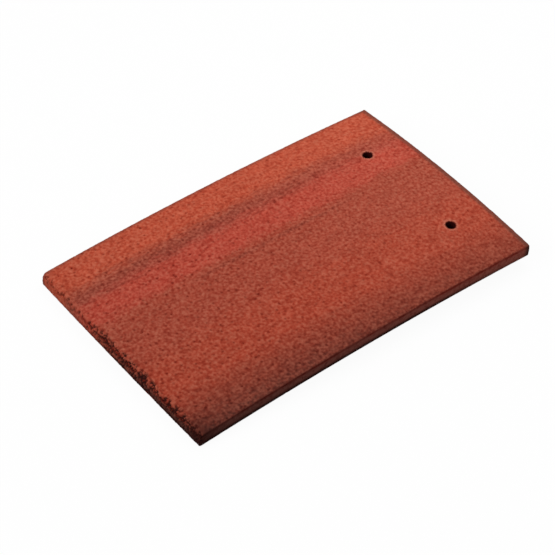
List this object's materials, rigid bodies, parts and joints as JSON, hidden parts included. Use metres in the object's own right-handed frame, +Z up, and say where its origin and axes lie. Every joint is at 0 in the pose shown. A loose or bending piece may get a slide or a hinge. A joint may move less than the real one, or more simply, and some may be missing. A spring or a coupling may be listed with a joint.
{
  "type": "concrete plain tile",
  "caption": "Flat rectangular concrete roof tile, slightly cambered both ways, with nail holes near the head and hanging nibs beneath it",
  "frame": {"origin": "centre of the outline at floor level, as the tile rests on its nibs and tail corners", "axes": "+X along the length from tail to head, +Y across the width, +Z up through the weather face"},
  "size_m": [0.2676, 0.165, 0.0228],
  "materials": {
    "concrete": "matte granular"
  },
  "bodies": {
    "root": {"tile": "concrete"}
  },
  "joints": []
}
